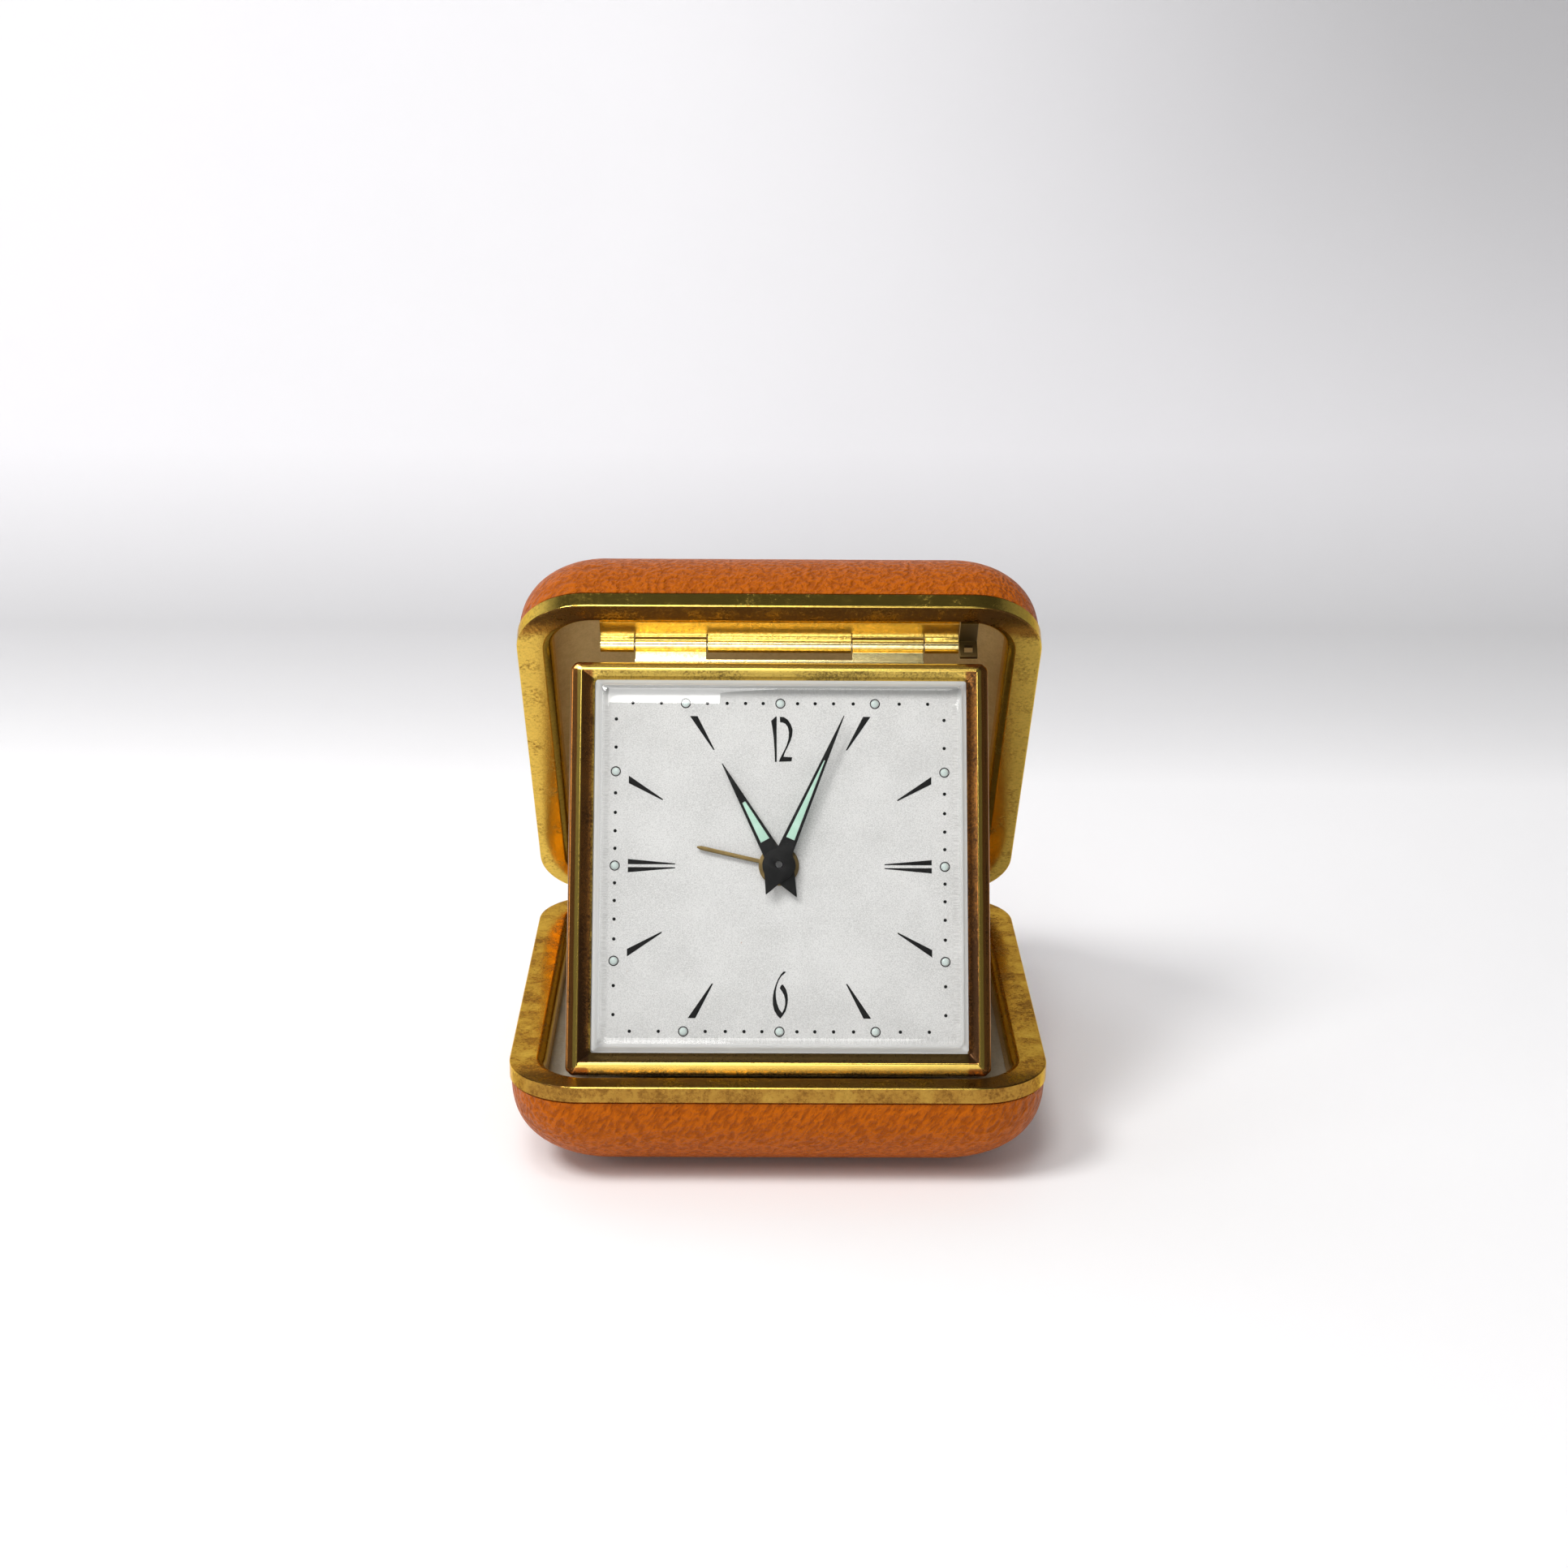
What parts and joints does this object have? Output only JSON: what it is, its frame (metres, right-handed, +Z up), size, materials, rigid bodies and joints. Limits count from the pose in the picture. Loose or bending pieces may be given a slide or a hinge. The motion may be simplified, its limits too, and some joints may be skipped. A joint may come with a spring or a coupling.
{
  "type": "folding travel alarm clock",
  "caption": "Folding travel alarm clock: square wound clock with dial, hands and alarm, hinged to the lid of a leather-covered clamshell case and propped open on its own foot.",
  "frame": {"origin": "centre of the base's flat leather underside, where it rests on a table", "axes": "+Z up, the dial faces -Y and the viewer, +X to the right of the dial, case hinge at the back (+Y)"},
  "size_m": [0.066, 0.0724, 0.0707],
  "materials": {
    "leather": "grained tan leather, satin",
    "gilt": "polished gilt brass, worn in places",
    "brass": "plain brass",
    "steel": "plain steel",
    "tinplate": "pressed tinplate",
    "base_lining": "grey paper-backed cloth",
    "lid_lining": "taupe paper-backed cloth",
    "bezel": "polished gilt brass",
    "crystal": "clear bevelled crystal",
    "dial": "matt off-white, printed",
    "hand": "black",
    "lume": "pale mint luminous paint",
    "spring": "blued steel",
    "nickel": "nickel plate"
  },
  "bodies": {
    "base": {"base_rim": "gilt", "base_leather": "leather", "base_pan": "tinplate", "base_lining": "base_lining", "case_hinge_base_leaf": "brass", "case_hinge_pin": "steel"},
    "lid": {"lid_rim": "gilt", "lid_leather": "leather", "lid_pan": "tinplate", "lid_lining": "lid_lining", "case_hinge_lid_leaf": "brass", "clock_hinge_lid_leaf": "brass", "clock_hinge_pin": "steel", "hinge_stop_tab": "brass"},
    "clock": {"clock_hinge_clock_leaf": "brass", "bezel": "bezel", "crystal": "crystal", "dial": "dial", "front_plate": "brass", "back_plate": "brass", "hairspring": "spring", "time_mainspring": "spring", "alarm_mainspring": "spring", "back_case": "gilt", "case_screw_1": "steel", "case_screw_2": "steel", "case_screw_3": "steel", "case_screw_4": "steel"},
    "minute_hand": {"minute_hand": "hand", "minute_hand_lume": "lume", "cannon_pinion": "steel"},
    "hour_hand": {"hour_hand": "hand", "hour_hand_lume": "lume", "hour_wheel": "brass"},
    "minute_wheel": {"minute_wheel": "brass"},
    "hand_setting": {"hand_setting_arbor": "steel", "hand_setting_knob": "gilt"},
    "alarm_hand": {"alarm_hand": "brass", "alarm_wheel": "brass"},
    "alarm_setting": {"alarm_setting_arbor": "steel", "alarm_setting_knob": "gilt"},
    "time_winding": {"time_winding_arbor": "steel", "time_key": "gilt"},
    "alarm_winding": {"alarm_winding_arbor": "steel", "alarm_key": "gilt"},
    "time_click": {"time_click": "steel"},
    "alarm_click": {"alarm_click": "steel"},
    "time_main_wheel": {"time_main_wheel": "brass"},
    "centre_wheel": {"centre_wheel": "brass"},
    "third_wheel": {"third_wheel": "brass"},
    "fourth_wheel": {"fourth_wheel": "brass"},
    "escape_wheel": {"escape_wheel": "brass"},
    "pallet_lever": {"pallet_lever": "steel"},
    "balance": {"balance_wheel": "brass"},
    "alarm_main_wheel": {"alarm_main_wheel": "brass"},
    "alarm_escape_wheel": {"alarm_escape_wheel": "brass"},
    "alarm_hammer": {"alarm_hammer": "steel"},
    "regulator": {"regulator_lever": "nickel"},
    "alarm_stop": {"alarm_stop": "nickel"}
  },
  "joints": [
    {"name": "lid_hinge", "type": "hinge", "parent": "base", "child": "lid", "pos_m": [0, 0.03345, 0.0142], "axis": [-1, 0, 0], "range_deg": [0, 62.5]},
    {"name": "clock_fold", "type": "hinge", "parent": "lid", "child": "clock", "pos_m": [0, -0.00221, 0.06076], "axis": [1, 0, 0], "range_deg": [0, 64.1]},
    {"name": "hand_setting", "type": "hinge", "parent": "clock", "child": "hand_setting", "pos_m": [0.00063, -0.02259, 0.02637], "axis": [0, -0.8939, 0.4484], "continuous": true},
    {"name": "minute_hand", "type": "hinge", "parent": "clock", "child": "minute_hand", "pos_m": [0, -0.01722, 0.03708], "axis": [0, -0.8939, 0.4484], "continuous": true},
    {"name": "minute_wheel", "type": "hinge", "parent": "clock", "child": "minute_wheel", "pos_m": [0.00031, -0.01991, 0.03173], "axis": [0, -0.8939, 0.4484], "continuous": true},
    {"name": "hour_hand", "type": "hinge", "parent": "clock", "child": "hour_hand", "pos_m": [0, -0.01722, 0.03708], "axis": [0, -0.8939, 0.4484], "continuous": true},
    {"name": "alarm_setting", "type": "hinge", "parent": "clock", "child": "alarm_setting", "pos_m": [-0.00935, -0.0148, 0.04191], "axis": [0, -0.8939, 0.4484], "continuous": true},
    {"name": "alarm_hand", "type": "hinge", "parent": "clock", "child": "alarm_hand", "pos_m": [0, -0.01722, 0.03708], "axis": [0, -0.8939, 0.4484], "continuous": true},
    {"name": "time_winding", "type": "hinge", "parent": "clock", "child": "time_winding", "pos_m": [-0.00712, -0.01922, 0.03311], "axis": [0, -0.8939, 0.4484], "continuous": true},
    {"name": "alarm_winding", "type": "hinge", "parent": "clock", "child": "alarm_winding", "pos_m": [0.00885, -0.02, 0.03155], "axis": [0, -0.8939, 0.4484], "continuous": true},
    {"name": "fourth_wheel", "type": "hinge", "parent": "clock", "child": "fourth_wheel", "pos_m": [0.00447, -0.01388, 0.04374], "axis": [0, -0.8939, 0.4484], "continuous": true},
    {"name": "third_wheel", "type": "hinge", "parent": "clock", "child": "third_wheel", "pos_m": [-0.00131, -0.01388, 0.04374], "axis": [0, -0.8939, 0.4484], "continuous": true},
    {"name": "centre_wheel", "type": "hinge", "parent": "clock", "child": "centre_wheel", "pos_m": [0, -0.01722, 0.03708], "axis": [0, -0.8939, 0.4484], "continuous": true},
    {"name": "time_main_wheel", "type": "hinge", "parent": "clock", "child": "time_main_wheel", "pos_m": [-0.00712, -0.01922, 0.03311], "axis": [0, -0.8939, 0.4484], "continuous": true},
    {"name": "escape_wheel", "type": "hinge", "parent": "clock", "child": "escape_wheel", "pos_m": [0.00999, -0.01432, 0.04287], "axis": [0, -0.8939, 0.4484], "continuous": true},
    {"name": "alarm_main_wheel", "type": "hinge", "parent": "clock", "child": "alarm_main_wheel", "pos_m": [0.00885, -0.02, 0.03155], "axis": [0, -0.8939, 0.4484], "continuous": true},
    {"name": "alarm_escape_wheel", "type": "hinge", "parent": "clock", "child": "alarm_escape_wheel", "pos_m": [0.01624, -0.01845, 0.03463], "axis": [0, -0.8939, 0.4484], "continuous": true},
    {"name": "pallet_lever", "type": "hinge", "parent": "clock", "child": "pallet_lever", "pos_m": [0.01084, -0.0128, 0.0459], "axis": [0, -0.8939, 0.4484], "range_deg": [-6, 6]},
    {"name": "balance_swing", "type": "hinge", "parent": "clock", "child": "balance", "pos_m": [0.01154, -0.01154, 0.04842], "axis": [0, -0.8939, 0.4484], "range_deg": [-200, 200], "stiffness_Nm_per_rad": 0.00000025},
    {"name": "alarm_hammer", "type": "hinge", "parent": "clock", "child": "alarm_hammer", "pos_m": [0.01702, -0.01665, 0.03823], "axis": [0, -0.8939, 0.4484], "range_deg": [-8, 8]},
    {"name": "regulator", "type": "hinge", "parent": "clock", "child": "regulator", "pos_m": [0.01154, -0.01154, 0.04842], "axis": [0, -0.8939, 0.4484], "range_deg": [-20, 20]},
    {"name": "time_click", "type": "hinge", "parent": "clock", "child": "time_click", "pos_m": [-0.00712, -0.02094, 0.02966], "axis": [0, -0.8939, 0.4484], "range_deg": [-8, 0], "stiffness_Nm_per_rad": 0.00001, "springref_deg": 5.73},
    {"name": "alarm_click", "type": "hinge", "parent": "clock", "child": "alarm_click", "pos_m": [0.00885, -0.02172, 0.02811], "axis": [0, -0.8939, 0.4484], "range_deg": [-8, 0], "stiffness_Nm_per_rad": 0.00001, "springref_deg": 5.73},
    {"name": "alarm_stop", "type": "slide", "parent": "clock", "child": "alarm_stop", "axis": [0, 0.4484, 0.8939], "range_m": [0, 0.0025]}
  ],
  "couplings": [
    {"joint": "clock_fold", "follows": "lid_hinge", "ratio": 1.0254},
    {"joint": "minute_hand", "follows": "hand_setting", "ratio": 1},
    {"joint": "minute_wheel", "follows": "hand_setting", "ratio": -0.33333},
    {"joint": "hour_hand", "follows": "hand_setting", "ratio": 0.083333},
    {"joint": "alarm_hand", "follows": "alarm_setting", "ratio": -0.2},
    {"joint": "third_wheel", "follows": "fourth_wheel", "ratio": -0.13333},
    {"joint": "centre_wheel", "follows": "fourth_wheel", "ratio": 0.016667},
    {"joint": "time_main_wheel", "follows": "fourth_wheel", "ratio": -0.0027778},
    {"joint": "escape_wheel", "follows": "fourth_wheel", "ratio": -10},
    {"joint": "alarm_escape_wheel", "follows": "alarm_main_wheel", "ratio": -7.5}
  ]
}
